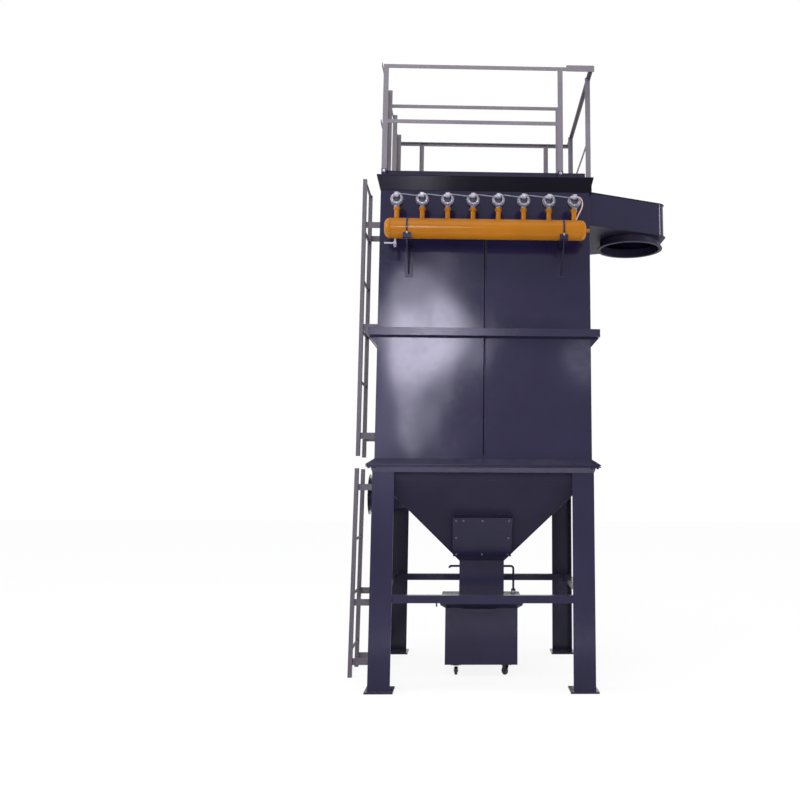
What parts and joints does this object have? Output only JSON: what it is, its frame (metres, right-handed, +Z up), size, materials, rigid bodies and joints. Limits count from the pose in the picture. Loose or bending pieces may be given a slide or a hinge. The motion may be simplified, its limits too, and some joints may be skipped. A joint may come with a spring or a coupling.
{
  "type": "baghouse dust collector",
  "caption": "Square pulse-jet dust collector on legs: filter casing over a hopper with a rolling dust bin, air tank with valves, side outlet hood, ladder and roof railing.",
  "frame": {"origin": "on the floor, at the centre of the four base plates", "axes": "+Z up, +X to the outlet hood's side, +Y to the rear; the valves and the air tank face -Y"},
  "size_m": [2.5405, 1.943, 4.718],
  "materials": {
    "body_paint": "glossy dark blue-grey paint",
    "coil_plastic": "light grey, satin",
    "gasket_rubber": "matt",
    "lead_sheath": "light grey, satin",
    "pipe_steel": "zinc plated",
    "rail_paint": "satin light grey paint",
    "tank_paint": "glossy orange-yellow paint",
    "valve_metal": "cast, satin",
    "wheel_rubber": "matt"
  },
  "bodies": {
    "collector": {"legs": "body_paint", "tie_beams": "body_paint", "ring_beam": "body_paint", "hopper_front_rear_walls": "body_paint", "hopper_side_walls": "body_paint", "hopper_flange": "body_paint", "flange_gasket": "gasket_rubber", "access_frame": "body_paint", "access_cover": "body_paint", "inlet_duct": "body_paint", "discharge_chute": "body_paint", "bin_cover": "body_paint", "cover_brackets": "body_paint", "lower_front_rear_walls": "body_paint", "lower_side_walls": "body_paint", "casing_flange": "body_paint", "girdle": "body_paint", "upper_front_rear_walls": "body_paint", "upper_side_walls": "body_paint", "eaves": "body_paint", "roof_pan": "body_paint", "air_tank": "tank_paint", "valve_nipples": "tank_paint", "pulse_valves": "valve_metal", "solenoid_coils": "coil_plastic", "coil_leads": "lead_sheath", "blow_pipes": "pipe_steel", "tank_brackets": "body_paint", "tank_straps": "tank_paint", "drain_cock": "pipe_steel", "outlet_hood_wall": "body_paint", "outlet_hood_plates": "body_paint", "outlet_collar": "body_paint", "ladder": "rail_paint", "ladder_brackets": "rail_paint", "front_railing": "rail_paint", "rear_railing": "rail_paint", "side_railings": "rail_paint", "roof_crossbar": "rail_paint"},
    "bin": {"dust_bin": "body_paint", "caster_plates": "pipe_steel"},
    "lever": {"lifting_lever": "body_paint"},
    "clamp": {"clamp_handle": "body_paint"},
    "drain": {"drain_lever": "pipe_steel"},
    "fork_front_left": {"caster_fork_front_left": "pipe_steel"},
    "wheel_front_left": {"caster_wheel_front_left": "wheel_rubber"},
    "fork_front_right": {"caster_fork_front_right": "pipe_steel"},
    "wheel_front_right": {"caster_wheel_front_right": "wheel_rubber"},
    "fork_rear_left": {"caster_fork_rear_left": "pipe_steel"},
    "wheel_rear_left": {"caster_wheel_rear_left": "wheel_rubber"},
    "fork_rear_right": {"caster_fork_rear_right": "pipe_steel"},
    "wheel_rear_right": {"caster_wheel_rear_right": "wheel_rubber"}
  },
  "joints": [
    {"name": "bin_roll_out", "type": "slide", "parent": "collector", "child": "bin", "axis": [0, -1, 0], "range_m": [0, 1.35]},
    {"name": "lever_tilt", "type": "hinge", "parent": "collector", "child": "lever", "pos_m": [0.271, 0.236, 0.592], "axis": [-1, 0, 0], "range_deg": [0, 85]},
    {"name": "clamp_swing", "type": "hinge", "parent": "collector", "child": "clamp", "pos_m": [-0.332, 0, 0.559], "axis": [0, 1, 0], "range_deg": [0, 100]},
    {"name": "drain_lever_turn", "type": "hinge", "parent": "collector", "child": "drain", "pos_m": [-0.662, -1, 3.2096], "axis": [0, -1, 0], "range_deg": [0, 90]},
    {"name": "caster_swivel_front_left", "type": "hinge", "parent": "bin", "child": "fork_front_left", "pos_m": [-0.194, -0.205, 0.075], "axis": [0, 0, 1], "continuous": true},
    {"name": "caster_roll_front_left", "type": "hinge", "parent": "fork_front_left", "child": "wheel_front_left", "pos_m": [-0.194, -0.191, 0.031], "axis": [1, 0, 0], "continuous": true},
    {"name": "caster_swivel_front_right", "type": "hinge", "parent": "bin", "child": "fork_front_right", "pos_m": [0.194, -0.205, 0.075], "axis": [0, 0, 1], "continuous": true},
    {"name": "caster_roll_front_right", "type": "hinge", "parent": "fork_front_right", "child": "wheel_front_right", "pos_m": [0.18538, -0.19397, 0.031], "axis": [0.788, 0.6157, 0], "continuous": true},
    {"name": "caster_swivel_rear_left", "type": "hinge", "parent": "bin", "child": "fork_rear_left", "pos_m": [-0.194, 0.205, 0.075], "axis": [0, 0, 1], "continuous": true},
    {"name": "caster_roll_rear_left", "type": "hinge", "parent": "fork_rear_left", "child": "wheel_rear_left", "pos_m": [-0.18831, 0.21779, 0.031], "axis": [0.9135, -0.4067, 0], "continuous": true},
    {"name": "caster_swivel_rear_right", "type": "hinge", "parent": "bin", "child": "fork_rear_right", "pos_m": [0.194, 0.205, 0.075], "axis": [0, 0, 1], "continuous": true},
    {"name": "caster_roll_rear_right", "type": "hinge", "parent": "fork_rear_right", "child": "wheel_rear_right", "pos_m": [0.19109, 0.21869, 0.031], "axis": [0.9781, 0.2079, 0], "continuous": true}
  ]
}
